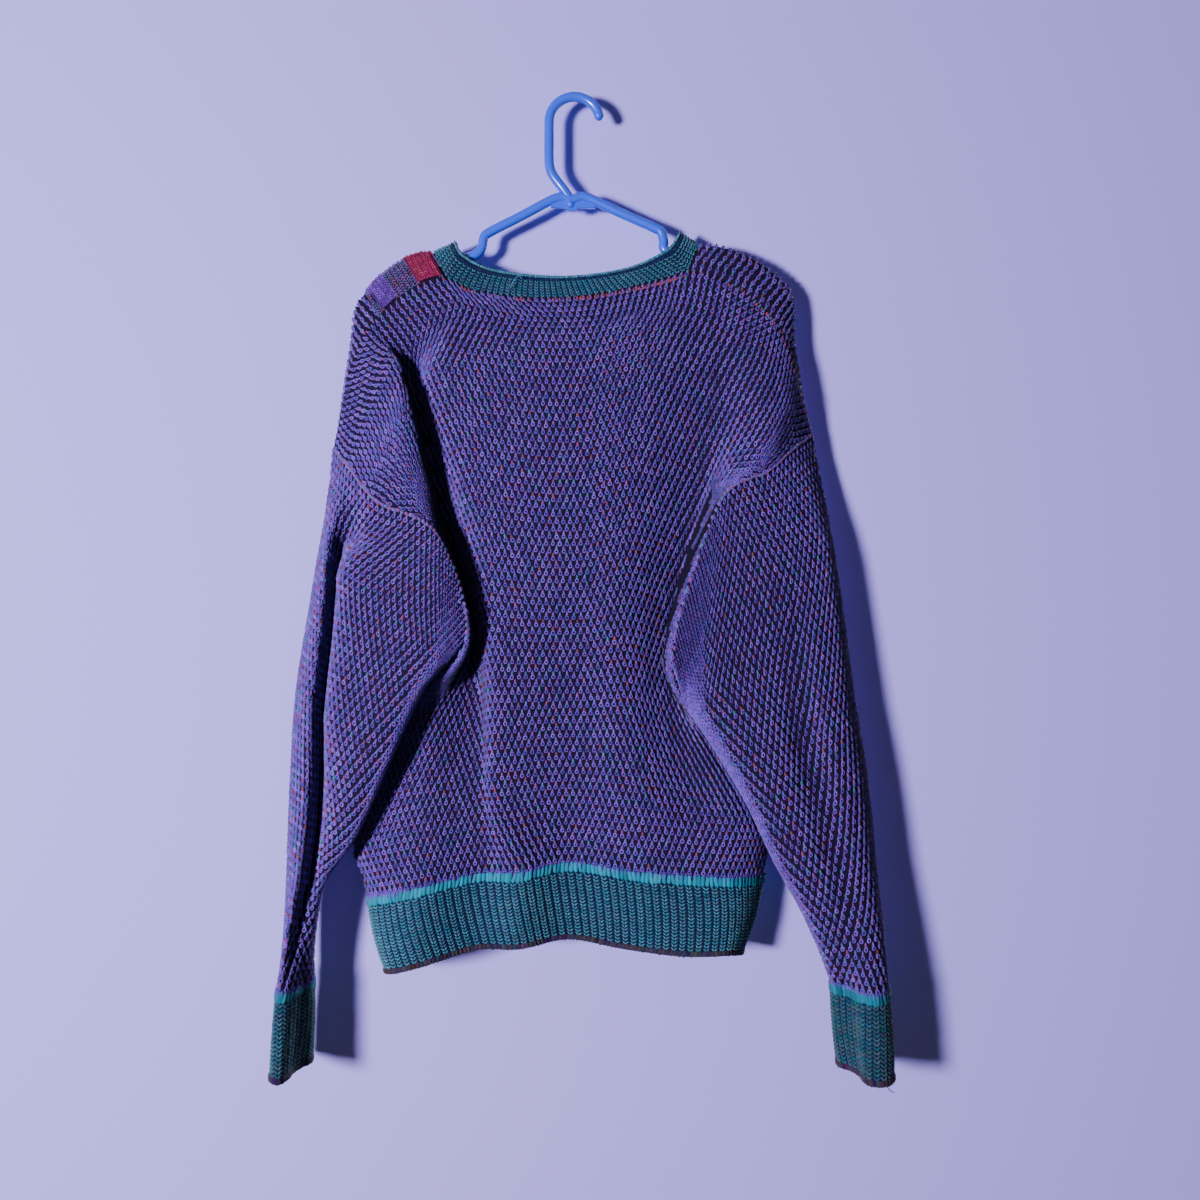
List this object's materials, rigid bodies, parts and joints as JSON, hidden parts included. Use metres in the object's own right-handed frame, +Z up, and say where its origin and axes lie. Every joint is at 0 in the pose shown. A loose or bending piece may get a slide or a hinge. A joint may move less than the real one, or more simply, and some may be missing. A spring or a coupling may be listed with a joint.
{
  "type": "darned wool sweater on a plastic hanger",
  "caption": "Chunky knitted crew-neck pullover with dropped shoulders, striped ribs and darned patches, hanging in soft folds from a tubular plastic hanger",
  "frame": {"origin": "inside top of the hanger's hook, where the rail or pin bears; the hanger's plane is y = 0", "axes": "+Z up; -Y is the way the back of the sweater faces and +Y the way its front faces; the wearer's left sleeve is at -X"},
  "size_m": [0.5677, 0.1055, 0.918],
  "materials": {
    "body_knit": "thick wool tuck stitch, lavender stitches over a dark plum ground",
    "rib_knit": "wool rib with teal and navy rows",
    "darn_crimson": "crimson wool darn",
    "darn_violet": "violet wool darn",
    "hanger_plastic": "glossy blue moulded plastic"
  },
  "bodies": {
    "root": {"back": "body_knit", "front": "body_knit", "sleeve_left": "body_knit", "sleeve_right": "body_knit", "neck_rib": "rib_knit", "hem_rib": "rib_knit", "cuff_left": "rib_knit", "cuff_right": "rib_knit", "darn_crimson": "darn_crimson", "darn_violet": "darn_violet", "hanger": "hanger_plastic"}
  },
  "joints": []
}
